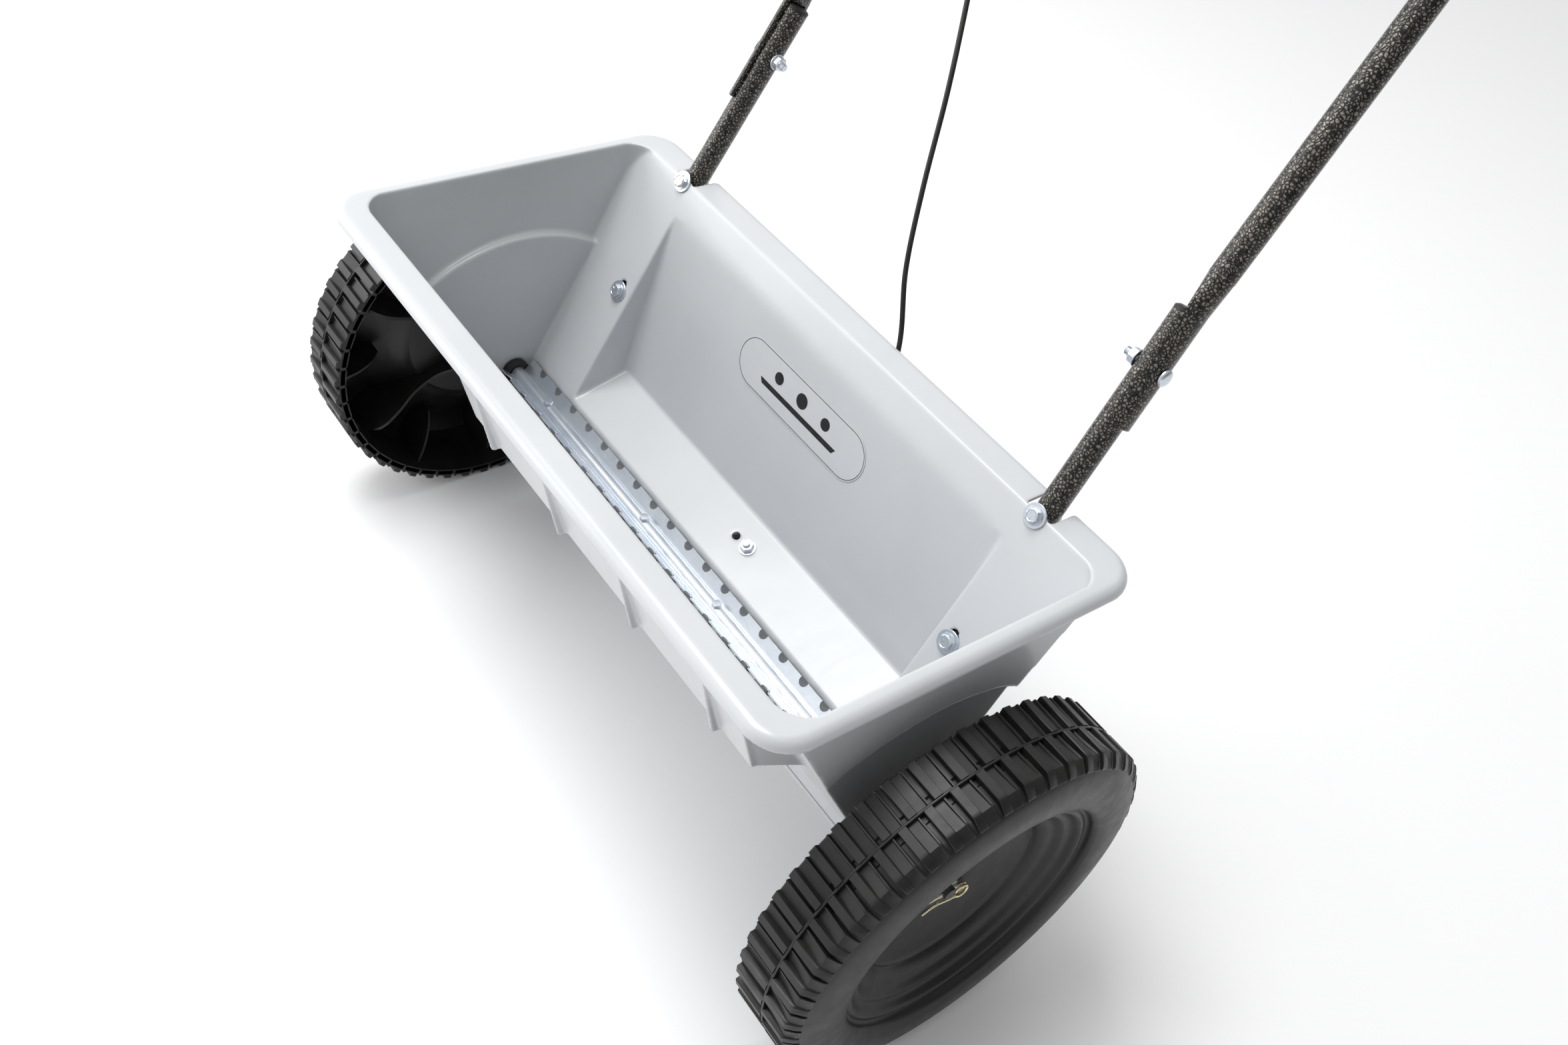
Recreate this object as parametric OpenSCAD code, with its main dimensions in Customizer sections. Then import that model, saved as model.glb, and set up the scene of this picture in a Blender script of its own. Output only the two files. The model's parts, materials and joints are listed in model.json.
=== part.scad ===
// Walk-behind drop spreader: hopper, axle with agitator, two wheels, shutter, push handle and cable.
// The world origin is on the ground, under the middle of the whole machine. +X is along the axle on
// the driven wheel's side, -Y is the front and +Z is up.

/* [Wheels] */
// Wheel diameter over the lugs
wheel_d = 305; // [303:1:307]
// Distance of the seam between the two lug rows from the middle
seam_x = 335; // [333:1:337]
// Lugs in each row
lug_count = 48; // [40:2:52]
// Depth of the gaps between lugs
lug_depth = 5; // [3:0.5:6]
// Lug width at the ground
lug_w = 8.5; // [6:0.5:10]

/* [Axle and agitator] */
// Axle diameter
axle_d = 10; // [9.5:0.1:10.2]
// Length of the axle over its ends
axle_len = 683; // [681:1:690]
// Radius swept by the agitator's teeth
sweep_r = 18.9; // [17:0.1:19.2]
// Pitch of the agitator's teeth and of the discharge slots
pitch = 26.3; // [26:0.1:26.6]
// Teeth along each agitator edge
teeth = 20; // [16:2:20]

/* [Hopper] */
// Length over the rim
rim_len = 591.4; // [588:0.2:594]
// Front of the rim, forward of the axle
rim_front = 158.3; // [157:0.1:160]
// Back of the rim, behind the axle
rim_back = 146.4; // [145:0.1:148]
// Height of the rim above the axle
rim_z = 201.9; // [201:0.1:203]
// Wall thickness
wall = 3; // [2.5:0.1:3]
// Tilt of the rear slope from upright
rear_tilt = 26.25; // [26:0.05:26.5]
// Tilt of the front slope from upright
front_tilt = 28.9; // [28.5:0.1:29.3]
// Radius of the round trough under the agitator
trough_r = 20.5; // [20.3:0.1:20.8]

/* [Shutter] */
// Travel from shut to fully open
shutter_travel = 13.15; // [12:0.05:13.3]
// Length of one discharge slot
slot_len = 11; // [9:0.5:12]
// Swing of the rate lever
lever_swing = 45; // [40:1:48]

/* [Handle] */
// Tube outer diameter
tube_d = 19; // [18.6:0.1:19]
// Tube wall
tube_wall = 1.5; // [1:0.1:2]
// Height of the crossbar above the axle
bar_z = 880; // [860:5:900]
// Half the distance between the two side tubes
handle_x = 216.5; // [216:0.1:217]
// Radius of the handle's two corners
corner_r = 70; // [60:5:80]
// Length of the foam grip
grip_len = 280; // [220:10:290]
// Height above the axle at which each leg's line meets its tube's line
corner_z = -10; // [-20:1:0]

/* [Hidden] */

fn_round = 64;
eps = 0.01;
wheel_r = wheel_d / 2;
tube_r = tube_d / 2;
axle_r = axle_d / 2;
run_gap = 0.05;              // radial clearance of a turning fit
SIDES = [-1, 1];

// Hopper walls and ends, measured from the axle
rear_foot_y = 17.8;          // rear slope's inner face, level with the axle
front_foot_y = -25;          // front slope's inner face, level with the axle
end_foot_x = 272;            // end wall's inner face, level with the axle
end_lean = 0.0495;           // outward lean of the end walls per unit of height
relief_r = 138;              // round relief of the end walls, inside
floor_z = -24;               // underside of the hopper
apex = [104.8, 176.3];       // rear bulge: top edge on the slope
heel = [72, 27];             // rear bulge: lowest back edge
toe = [22, 8.4];             // rear bulge: front edge of the shelf
bulge_half = 208;            // rear bulge: half width on the slope
bulge_draft = 5;             // rear bulge: draft of each side
shelf_tilt = atan2(heel[1] - toe[1], heel[0] - toe[0]);

// Tubes: the lower ones lean inward a little, the upper ones are upright seen from behind
tilt = rear_tilt;
joint_z = 200;               // height at which the tube frames have their origin
joint_x = 216.8;
lean = 1.95;
tube_off = wall + tube_r + 0.1;
joint_y = rear_foot_y + joint_z * tan(tilt) + tube_off / cos(tilt);
lap_start = 73.6;
lap_end = 160.5;
cap_s = 156;
lap_bolt_s = 115.6;
lap_t = 3.6;
round_start = 186;
bolt_s = [-116.5, -6];       // hopper bolts along the tube
corner_s = (joint_z - corner_z) / cos(tilt);
leg_bend_r = 60;
leg_len = (corner_z + wheel_r - 9) / sin(tilt);
bar_s = (bar_z - joint_z) / cos(tilt);
bar_y = joint_y + (bar_z - joint_z) * tan(tilt);
grip_r = 16;
mid_y = (bar_y + grip_r - rim_front) / 2;

// Axle parts, as distances from the middle
bush_start = 266.3;
bush_end = 283;
hub_in = 286.3;
hub_out = 335.5;
clip_x = 338.5;
pin_x = 290;

// Shutter and cable end
shutter_top = floor_z - 0.3;
shutter_t = 1.6;
shutter_half_w = 14.1;
arm_x = -45;                 // spring face of the shutter's upturned arm
wire_y = 50;
wire_z = -8;
plate_x = 0;                 // spring face of the bracket's plate
bracket_w = 34;
bolt_x = 22;
bolt_y = 49.3;
wire_r = 0.8;

// Control, along the left upper tube
control_s = 563;
drum_r = shutter_travel / (lever_swing * PI / 180);
drum_x = 22;
case_r = 24;
lever_rest = 22.5;
sheath_top_s = 50;           // below the pivot

// Route of the cable's middle line, measured from the axle
ROUTE = [[12, 50, -8], [24, 50, -8], [38, 51, -7], [50, 57, -1], [57, 69, 9], [60, 80, 23], [60, 88, 48],
    [57, 104, 86], [48, 128, 138], [30, 150, 196], [6, 161, 248], [-17, 181, 300], [-42, 207, 356],
    [-68, 231, 404], [-98, 257, 456], [-128, 284, 508], [-156, 312, 560], [-180, 340, 606],
    control_point(sheath_top_s + 30), control_point(sheath_top_s + 12),
    control_point(sheath_top_s)];

function control_point(drop) = [-handle_x + drum_x,
    joint_y + drum_r * cos(tilt) + (control_s - drop) * sin(tilt),
    joint_z - drum_r * sin(tilt) + (control_s - drop) * cos(tilt)];

// ---- shared shapes ----

// Puts the axle's centre at its place above the world origin
module at_axle() { translate([0, -mid_y, wheel_r]) children(); }

// Lays a shape made along Z onto the X axis, its Z pointing to +X
module along_x() { rotate([0, 90, 0]) children(); }

// Draws a Y-Z outline and stretches it along X, from -w/2 to w/2
module across(w) { rotate([90, 0, 90]) linear_extrude(w, center = true) children(); }

// Both sides of the machine
module both_sides() {
    children();
    mirror([1, 0, 0]) children();
}

// Frame of a lower tube: Z up along the tube, Y away from the hopper, X outward on the right side
module tube_frame(side) {
    mirror([side < 0 ? 1 : 0, 0, 0]) translate([joint_x, joint_y, joint_z])
        rotate([-tilt, 0, 0]) rotate([0, -lean, 0]) children();
}

// Frame of the handle, in the plane of both upper tubes
module handle_frame() {
    translate([0, joint_y, joint_z]) rotate([-tilt, 0, 0]) children();
}

// Frame of the control: on the left upper tube, Z along the tube, X toward the machine's middle
module control_frame() {
    handle_frame() translate([-handle_x, 0, control_s]) children();
}

// Moves each edge of an outline out by d, keeping its direction
function edge_normal(a, b) = [b[1] - a[1], a[0] - b[0]] / norm(b - a);
function grown(p, d) = [for (i = [0 : len(p) - 1])
    let (n1 = edge_normal(p[(i + len(p) - 1) % len(p)], p[i]),
         n2 = edge_normal(p[i], p[(i + 1) % len(p)]))
    p[i] + d * (n1 + n2) / (1 + n1 * n2)];

module rounded_rect(w, d, r) {
    square([w - 2 * r, d], center = true);
    square([w, d - 2 * r], center = true);
    for (x = SIDES, y = SIDES)
        translate([x * (w / 2 - r), y * (d / 2 - r)]) circle(r, $fn = fn_round);
}

module hex_nut(af, h, bore) {
    difference() {
        cylinder(h = h, r = af / sqrt(3), $fn = 6);
        translate([0, 0, -1]) cylinder(h = h + 2, r = bore, $fn = 32);
    }
}

module washer(r_out, r_in, t) {
    difference() {
        cylinder(h = t, r = r_out, $fn = fn_round);
        translate([0, 0, -1]) cylinder(h = t + 2, r = r_in, $fn = fn_round);
    }
}

// Hex bolt along +Z from under its head, which lies below z = 0
module hex_bolt(af, head_h, r, len) {
    translate([0, 0, -head_h]) cylinder(h = head_h, r = af / sqrt(3), $fn = 6);
    translate([0, 0, -eps]) cylinder(h = len + eps, r = r, $fn = 32);
}

// Smooth curve through the given points
function curve_at(p, i, t) = let (a = p[max(i - 1, 0)], b = p[i], c = p[i + 1],
        d = p[min(i + 2, len(p) - 1)])
    0.5 * (2 * b + (c - a) * t + (2 * a - 5 * b + 4 * c - d) * t * t
        + (3 * b - a - 3 * c + d) * t * t * t);
function curve(p, steps) = concat([for (i = [0 : len(p) - 2], k = [0 : steps - 1])
    curve_at(p, i, k / steps)], [p[len(p) - 1]]);

// Tube swept along a line of points; ref is a direction that the line never takes
module sweep(line, r, sides, ref) {
    n = len(line);
    rings = [for (i = [0 : n - 1])
        let (d = line[min(i + 1, n - 1)] - line[max(i - 1, 0)],
             u = cross(d, ref) / norm(cross(d, ref)),
             v = cross(d, u) / norm(cross(d, u)))
        for (k = [0 : sides - 1]) line[i] + r * (cos(360 * k / sides) * u + sin(360 * k / sides) * v)];
    walls = [for (i = [0 : n - 2], k = [0 : sides - 1])
        let (a = i * sides + k, b = i * sides + (k + 1) % sides)
        each [[a, b, b + sides], [a, b + sides, a + sides]]];
    ends = [[for (k = [0 : sides - 1]) sides - 1 - k],
        [for (k = [0 : sides - 1]) (n - 1) * sides + k]];
    polyhedron(rings, concat(walls, ends), convexity = 6);
}

// ---- hopper ----

function rear_y(z) = rear_foot_y + z * tan(rear_tilt);
function front_y(z) = front_foot_y - z * tan(front_tilt);
function end_x(z) = end_foot_x + end_lean * z;
opening_len = 2 * end_x(rim_z) + 1.4;
opening_front = 134;
opening_back = rear_y(rim_z);

// V of the hopper: outline across it, outline of its ends and the round trough
module v_space(d) {
    top = rim_z + 20;
    low = -trough_r;
    section = grown([[front_y(low), low], [rear_y(low), low], [rear_y(top), top],
        [front_y(top), top]], d);
    ends = grown([[-end_x(low), low], [end_x(low), low], [end_x(top), top], [-end_x(top), top]], d);
    intersection() {
        union() {
            across(700) polygon(section);
            along_x() cylinder(h = 700, r = trough_r + d, center = true, $fn = 96);
        }
        rotate([90, 0, 0]) linear_extrude(400, center = true) polygon(ends);
        translate([0, (opening_back - opening_front) / 2, -60]) linear_extrude(rim_z + 100)
            rounded_rect(opening_len + 2 * d, opening_front + opening_back + 2 * d, 22 + d);
    }
}

// Round relief that steps each end wall inward beside its wheel
module end_relief(d) {
    both_sides() translate([end_foot_x + d, 0, 0]) along_x()
        cylinder(h = 60, r = relief_r - d, $fn = 128);
}

// Rear bulge with its sloping shelf, and its drafted sides
module rear_bulge(d) {
    depth = 60;
    back = apex - heel;
    shelf = heel - toe;
    front_low = toe - shelf * 2.5 / norm(shelf);
    front_high = apex + back * 3 / norm(back);
    intersection() {
        across(500) polygon(grown([front_low, heel, front_high], d));
        translate([0, rear_foot_y, 0]) rotate([-rear_tilt, 0, 0]) translate([0, 0, -100])
            linear_extrude(400) polygon([[-bulge_half - d, -20], [bulge_half + d, -20],
                [bulge_half - bulge_draft * depth / 37 + d, depth],
                [-bulge_half + bulge_draft * depth / 37 - d, depth]]);
    }
}

// Front bulge, off centre, with splayed ends
module front_bulge(d) {
    face_tilt = 20;
    foot = [-109, 95];
    section = grown([[front_y(95), 95], [-133.6, rim_z + 20], [-133.6, 169], foot], d);
    intersection() {
        across(700) polygon(section);
        translate([0, foot[0], foot[1]]) rotate([face_tilt, 0, 0]) translate([0, 0, -60])
            linear_extrude(240) polygon([[-132 - d, -40], [234 + d, -40], [234 + d, 0],
                [262 + d, 50], [-160 - d, 50], [-132 - d, 0]]);
    }
}

module front_fins() {
    for (i = [0 : 3]) translate([-97 + 99 * i, 0, 0])
        across(3) polygon([[-138.5, 190], [-138.5, 166], [-119, 96], [-117.5, 91], [-114, 89.5],
            [-108, 92], [-135.5, 168], [-135.5, 190]]);
}

// Rolled edge of the rim: outline in the plane across the edge, its outermost point at 0
module lip_outline() {
    lip_r = 8;
    drop = 9.5;
    difference() {
        union() {
            intersection() {
                translate([-lip_r, -lip_r]) circle(lip_r, $fn = 48);
                translate([-lip_r, -lip_r]) square(lip_r);
            }
            translate([-wall, -drop]) square([wall, drop - lip_r]);
        }
        translate([-lip_r, -lip_r]) circle(lip_r - wall, $fn = 48);
    }
}

module rim() {
    r = 30;
    w = rim_len;
    d = rim_front + rim_back;
    inset = 8;
    translate([0, (rim_back - rim_front) / 2, 0]) {
        difference() {
            translate([0, 0, rim_z - wall]) linear_extrude(wall)
                rounded_rect(w - 2 * inset, d - 2 * inset, r - inset);
            translate([0, (opening_back - opening_front - rim_back + rim_front) / 2, rim_z - 10])
                linear_extrude(20) rounded_rect(opening_len, opening_front + opening_back, 22);
        }
        for (a = [0, 180]) rotate([0, 0, a]) {
            translate([0, d / 2, rim_z]) rotate([90, 0, 90])
                linear_extrude(w - 2 * r, center = true) lip_outline();
            translate([w / 2, 0, rim_z]) rotate([90, 0, 0])
                linear_extrude(d - 2 * r, center = true) lip_outline();
            for (c = [0, 90]) translate([w / 2 - r, (c == 0 ? 1 : -1) * (d / 2 - r), rim_z])
                rotate([0, 0, -c]) rotate_extrude(angle = 90, $fn = fn_round)
                    translate([r, 0]) lip_outline();
        }
    }
}

// Slots for the hopper bolts, along the slope
module bolt_slots() {
    for (side = SIDES, s = bolt_s) tube_frame(side) translate([0, -tube_off - 10, s])
        rotate([-90, 0, 0]) {
            for (e = [0, 7]) translate([0, -e, 0]) cylinder(h = 20, r = 3.5, $fn = 32);
            translate([-3.5, -7, 0]) cube([7, 7, 20]);
        }
}

// Frame of the shelf: origin on the shelf's inner face below x and y, Z out of the hopper
module shelf_frame(x, y) {
    translate([x, y, toe[1] + (y - toe[0]) * tan(shelf_tilt)]) rotate([shelf_tilt + 180, 0, 0])
        children();
}

module hopper() {
    color("gainsboro") at_axle() difference() {
        union() {
            difference() {
                union() {
                    difference() {
                        v_space(wall);
                        end_relief(wall);
                    }
                    rear_bulge(wall);
                    front_bulge(wall);
                    translate([0, 0, floor_z + 6]) cube([2 * end_foot_x, 46, 12], center = true);
                }
                difference() {
                    v_space(0);
                    end_relief(0);
                }
                rear_bulge(0);
                front_bulge(0);
                translate([0, 0, rim_z + 50]) cube([800, 500, 100], center = true);
            }
            rim();
            front_fins();
        }
        along_x() cylinder(h = 700, r = 9.1, center = true, $fn = fn_round);
        for (i = [0 : teeth - 2]) translate([(i - (teeth - 2) / 2) * pitch, 0, floor_z])
            cube([slot_len, 12, 12], center = true);
        bolt_slots();
        for (side = SIDES) tube_frame(side) translate([-12, -tube_r - 0.6, -16]) cube([24, 60, 60]);
        shelf_frame(bolt_x, bolt_y) cylinder(h = 20, r = 3.3, center = true, $fn = 32);
        shelf_frame(6, bolt_y) cylinder(h = 20, r = 3, center = true, $fn = 32);
        for (x = screw_x, side = SIDES) translate([x, side * 18.5, floor_z - 1])
            cylinder(h = 8, r = 1.6, $fn = 24);
    }
}

module panel_badge() {
    v = apex - heel;
    color("white") at_axle() translate([-2.5, 95, 27 + (95 - 72) * v[1] / v[0]])
        rotate([-atan2(v[0], v[1]), 0, 0]) translate([0, -0.2, 0]) rotate([90, 0, 0])
            linear_extrude(0.3) rounded_rect(160, 43, 21.4);
}

// ---- axle and wheels ----

module bush(side) {
    color("#202020") at_axle() mirror([side < 0 ? 1 : 0, 0, 0]) along_x() difference() {
        union() {
            translate([0, 0, bush_start]) cylinder(h = 5, r = 12, $fn = fn_round);
            translate([0, 0, bush_start + 1]) cylinder(h = bush_end - bush_start - 1, r = 9,
                $fn = fn_round);
        }
        translate([0, 0, 200]) cylinder(h = 200, r = axle_r + run_gap, $fn = fn_round);
    }
}
module bush_left() { bush(-1); }
module bush_right() { bush(1); }

screw_at = [-211, -53, 53, 211];

module axle() {
    color("silver") at_axle() difference() {
        along_x() cylinder(h = axle_len, r = axle_r, center = true, $fn = fn_round);
        for (x = SIDES) translate([x * clip_x, 0, 0]) rotate([90, 0, 0])
            cylinder(h = 30, r = 1.2, center = true, $fn = 24);
        translate([pin_x, 0, 0]) cylinder(h = 30, r = 2.05, center = true, $fn = 24);
        for (x = screw_at) translate([x, 0, -2]) cylinder(h = 20, r = 2.05, $fn = 24);
    }
}

// Folded plate: a half-round saddle over the axle with a wing bent up on each side
module agitator() {
    sheet = 1.2;
    saddle_r = axle_r + 0.1 + sheet;
    tip = sweep_r * [0.852, 0.519];
    fold = sheet * [0.707, -0.707];
    half_len = (teeth / 2 + 0.1) * pitch;
    color("#d5dbe0") at_axle() difference() {
        union() {
            difference() {
                along_x() cylinder(h = 2 * half_len, r = saddle_r, center = true, $fn = fn_round);
                along_x() cylinder(h = 600, r = saddle_r - sheet, center = true, $fn = fn_round);
                translate([0, 0, -20]) cube([600, 40, 40], center = true);
            }
            for (side = SIDES) mirror([0, side < 0 ? 1 : 0, 0])
                across(2 * half_len) polygon([[saddle_r - sheet, 0.3], [saddle_r - sheet, 0],
                    [saddle_r - 0.3, -0.9], tip, tip - fold, [saddle_r, 1.2]]);
        }
        for (i = [0 : teeth - 1], side = SIDES)
            translate([(i - (teeth - 1) / 2) * pitch + 4 * side, side * (tip[0] - 1.1), tip[1] - 0.8])
                rotate([side * -45, 0, 0]) cylinder(h = 12, r = 4.3, center = true, $fn = 32);
        for (x = screw_at) translate([x, 0, 0]) cylinder(h = 20, r = 2.05, $fn = 24);
    }
}

module agitator_screws() {
    color("silver") at_axle() for (x = screw_at) translate([x, 0, axle_r + 1.35])
        mirror([0, 0, 1]) hex_bolt(7, 2.8, 2, 8);
}

// One row of lugs between two distances along the axle
module lug_row(x0, x1, turn) {
    step = 360 / lug_count;
    top_a = lug_w / 2 / wheel_r * 180 / PI;
    foot_a = top_a + 0.5;
    low_r = wheel_r - lug_depth - 1;
    outline = [for (i = [0 : lug_count - 1], k = [[-foot_a, low_r], [-top_a, wheel_r],
        [top_a, wheel_r], [foot_a, low_r]])
        k[1] * [cos(i * step + turn + k[0]), sin(i * step + turn + k[0])]];
    translate([0, 0, x0]) linear_extrude(x1 - x0) difference() {
        polygon(outline);
        circle(wheel_r - lug_depth - 3, $fn = 128);
    }
}

// Wheel about Z, its outer face up: tread ring, dished disc, hub and ribs
module wheel_body() {
    base_r = wheel_r - lug_depth;
    in_r = base_r - 6;
    x_in = seam_x - 29;
    bore = axle_r + run_gap;
    difference() {
        union() {
            rotate_extrude($fn = 128) polygon([[in_r + 2, x_in], [base_r, x_in], [base_r, 358],
                [146, 361], [140, 366], [128, 369.3], [116, 369.3], [108, 366.5], [104, 361],
                [100, 361.2], [96, 358], [84, 350], [80, 349], [72, 343.5], [66, 342], [18, 336.5],
                [16, hub_out], [bore, hub_out], [bore, hub_in], [16, hub_in], [16.5, 331],
                [66, 337.5], [74, 340.5], [98, 353], [112, 362], [128, 363.5], [138, 360],
                [in_r, 352]]);
            lug_row(x_in, seam_x - 0.5, 180 / lug_count);
            lug_row(seam_x + 0.5, 360, 0);
            translate([0, 0, seam_x - 1]) rotate_extrude($fn = 128)
                translate([base_r - 2, 0]) square([lug_depth + 1.6, 2]);
        }
        translate([0, 0, 200]) cylinder(h = 300, r = bore, $fn = fn_round);
    }
    for (i = [0 : 5]) rotate([0, 0, 60 * i]) rotate([90, 0, 0]) linear_extrude(3, center = true)
        polygon([[15, 300], [30, 316], [80, 322], [in_r + 1, 318], [in_r + 1, 353], [138, 361],
            [128, 364.5], [112, 363], [98, 354], [70, 340], [15, 333]]);
}

module drive_wheel() {
    color("#1c1c1c") at_axle() along_x() difference() {
        wheel_body();
        translate([-20, -2.4, hub_in - 1]) cube([40, 4.8, pin_x - hub_in + 3.4]);
    }
}

module free_wheel() {
    color("#1c1c1c") at_axle() mirror([1, 0, 0]) along_x() wheel_body();
}

module drive_pin() {
    color("silver") at_axle() translate([pin_x, 0, 0])
        cylinder(h = 26, r = 2, center = true, $fn = 32);
}

module axle_washers() {
    color("silver") at_axle() both_sides() along_x()
        for (x = [[bush_end + 0.4, 1.8], [hub_out + 0.4, 1.4]])
            translate([0, 0, x[0]]) washer(9.5, axle_r + 0.1, x[1]);
}

// Spring clip: straight leg through the axle, one and a half turns of ring, and a leg humped over
// the axle
module r_clip(side) {
    wire = 1;
    ring_r = 4.8;
    ring_y = 12;
    rise = 2.2;
    ring = [for (a = [0 : 15 : 540]) [rise * a / 360, ring_y + ring_r * sin(a), ring_r * (cos(a) - 1)]];
    hump = curve([[3.3, ring_y - 3, -9.2], [3, 5, -6.6], [2.8, 0, -6.2], [2.6, -5, -5.2],
        [2.4, -11, -4], [2.2, -17, -5], [2, -23, -8]], 3);
    color("#c9b870") at_axle() mirror([side < 0 ? 1 : 0, 0, 0]) translate([clip_x, 0, 0])
        sweep(concat([[0, -20, 0], [0, -6, 0], [0, 6, 0]], ring, hump), wire, 8, [1, 0, 0]);
}
module r_clip_left() { r_clip(-1); }
module r_clip_right() { r_clip(1); }

// ---- shutter ----

screw_x = [-246, -118, 118, 246];

module shutter() {
    arm_y = 44;
    color("#c8cdd2") at_axle() difference() {
        union() {
            translate([-262, -shutter_half_w, shutter_top - shutter_t])
                cube([524, 2 * shutter_half_w, shutter_t]);
            translate([arm_x - 21, 0, shutter_top - shutter_t]) cube([21, arm_y + 12, shutter_t]);
            translate([arm_x - shutter_t, arm_y, shutter_top - shutter_t])
                cube([shutter_t, 12, wire_z + 7 - shutter_top + shutter_t]);
        }
        for (i = [0 : teeth - 2])
            translate([(i - (teeth - 2) / 2) * pitch - shutter_travel, 0, shutter_top])
                cube([slot_len, 12, 8], center = true);
        translate([arm_x, wire_y, wire_z]) along_x() cylinder(h = 10, r = 1.2, center = true,
            $fn = 24);
    }
}

// Rail with a rebate that carries one edge of the shutter
module shutter_guide(side) {
    color("gainsboro") at_axle() mirror([0, side < 0 ? 1 : 0, 0]) difference() {
        across(530) polygon([[shutter_half_w + 0.3, floor_z], [23, floor_z], [23, -27.8], [11, -27.8],
            [11, -26.2], [shutter_half_w + 0.3, -26.2]]);
        if (side > 0) translate([arm_x - 25, 13, -26.2]) cube([42, 20, 10]);
        for (x = screw_x) translate([x, 18.5, -40]) cylinder(h = 30, r = 1.7, $fn = 24);
    }
}
module shutter_guide_front() { shutter_guide(-1); }
module shutter_guide_rear() { shutter_guide(1); }

module guide_screws() {
    color("silver") at_axle() for (x = screw_x, side = SIDES) translate([x, side * 18.5, -27.8]) {
        cylinder(h = 10, r = 1.5, $fn = 24);
        translate([0, 0, -1.8]) cylinder(h = 1.8, r = 3.4, $fn = 32);
    }
}

// Compression spring round the inner wire, between the bracket and the shutter's arm
module return_spring() {
    turns = 9;
    r = 3.6;
    span = plate_x - arm_x - 1.4;
    line = [for (i = [0 : turns * 12])
        [arm_x + 0.7 + span * i / (turns * 12), wire_y + r * cos(30 * i), wire_z + r * sin(30 * i)]];
    color("silver") at_axle() sweep(line, 0.5, 6, [1, 0, 0]);
}

// ---- cable and its bracket ----

module cable_bracket() {
    color("silver") at_axle() difference() {
        union() {
            shelf_frame(plate_x, bolt_y) translate([0, -12, wall])
                cube([bracket_w, 24, 2]);
            translate([plate_x, 38, wire_z - 7]) cube([2, 23, 40]);
        }
        translate([-20, 0, 0]) shelf_frame(0, bolt_y) translate([0, -40, -50 + wall])
            cube([80, 80, 50]);
        shelf_frame(bolt_x, bolt_y) cylinder(h = 40, r = 3.3, center = true, $fn = 32);
        shelf_frame(6, bolt_y) cylinder(h = 40, r = 3, center = true, $fn = 32);
        translate([plate_x, wire_y, wire_z]) along_x() cylinder(h = 20, r = 2.6, center = true,
            $fn = 32);
    }
}

module bracket_bolt() {
    color("silver") at_axle() shelf_frame(bolt_x, bolt_y) translate([0, 0, wall + 2])
        mirror([0, 0, 1]) hex_bolt(10, 4, 3, 14);
}
module bracket_washer() {
    color("silver") at_axle() shelf_frame(bolt_x, bolt_y) mirror([0, 0, 1]) washer(7, 3.1, 1.2);
}
module bracket_nut() {
    color("silver") at_axle() shelf_frame(bolt_x, bolt_y) translate([0, 0, -1.2])
        mirror([0, 0, 1]) hex_nut(10, 5, 3.05);
}
module bracket_rivet() {
    color("#202020") at_axle() shelf_frame(6, bolt_y) {
        translate([0, 0, wall + 2]) cylinder(h = 1.6, r = 3.8, $fn = 32);
        translate([0, 0, -0.6]) cylinder(h = wall + 3, r = 2.8, $fn = 32);
        translate([0, 0, -3.6]) cylinder(h = 3.01, r1 = 1.2, r2 = 3.4, $fn = 32);
    }
}

module cable_sheath() {
    color("#2b2b2b") at_axle() sweep(curve(ROUTE, 4), 2, 8, [0, 0.9, -0.45]);
}

// Cable end stop: body, collar and a nose through the plate
module ferrule(nose) {
    difference() {
        union() {
            translate([0, 0, -nose]) cylinder(h = nose + 1, r = 2.5, $fn = 32);
            cylinder(h = 3, r = 4.5, $fn = 32);
            cylinder(h = 18, r = 3.4, $fn = 32);
        }
        translate([0, 0, 10]) cylinder(h = 10, r = 2.3, $fn = 32);
        translate([0, 0, -20]) cylinder(h = 40, r = 1.1, $fn = 24);
    }
}
module ferrule_lower() {
    color("#888888") at_axle() translate([plate_x + 2, wire_y, wire_z]) along_x() ferrule(5);
}
module ferrule_upper() {
    color("#888888") at_axle() control_frame()
        translate([drum_x, drum_r, -sheath_top_s + 10]) mirror([0, 0, 1]) ferrule(5);
}

// Free lengths of the inner wire
module inner_wire_lower() {
    color("gray") at_axle() translate([arm_x - 6, wire_y, wire_z]) along_x()
        cylinder(h = plate_x + 17.8 - shutter_travel - arm_x, r = wire_r, $fn = 16);
}
module inner_wire_upper() {
    line = concat([[0, drum_r, -sheath_top_s + 2]],
        [for (a = [0 : 5 : 40]) drum_r * [0, cos(a), sin(a)]]);
    color("gray") at_axle() control_frame() translate([drum_x, 0, 0]) sweep(line, wire_r, 8, [1, 0, 0]);
}
module wire_clamp() {
    color("silver") at_axle() translate([arm_x - shutter_t - 6, wire_y, wire_z]) along_x()
        difference() {
            cylinder(h = 6, r = 3, $fn = 32);
            translate([0, 0, -1]) cylinder(h = 8, r = wire_r + 0.02, $fn = 16);
        }
}
module wire_nipple() {
    color("silver") at_axle() control_frame() translate([drum_x - 4.9, 0, 0]) rotate([55, 0, 0])
        translate([0, drum_r, 0]) along_x() cylinder(h = 9.8, r = 2.3, $fn = 32);
}

// ---- handle ----

// Frame of a leg bend: origin at its centre, the bend running from +X toward +Y
module bend_frame(side) {
    tube_frame(side) translate([0, leg_bend_r, -corner_s + leg_bend_r]) rotate([0, 90, 0])
        rotate([0, 0, -90]) children();
}

// Puts a shape at the start of a leg, Z along the leg
module leg_frame(side) {
    bend_frame(side) rotate([0, 0, 90]) translate([leg_bend_r, 0, 0]) rotate([-90, 0, 0])
        children();
}

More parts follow.
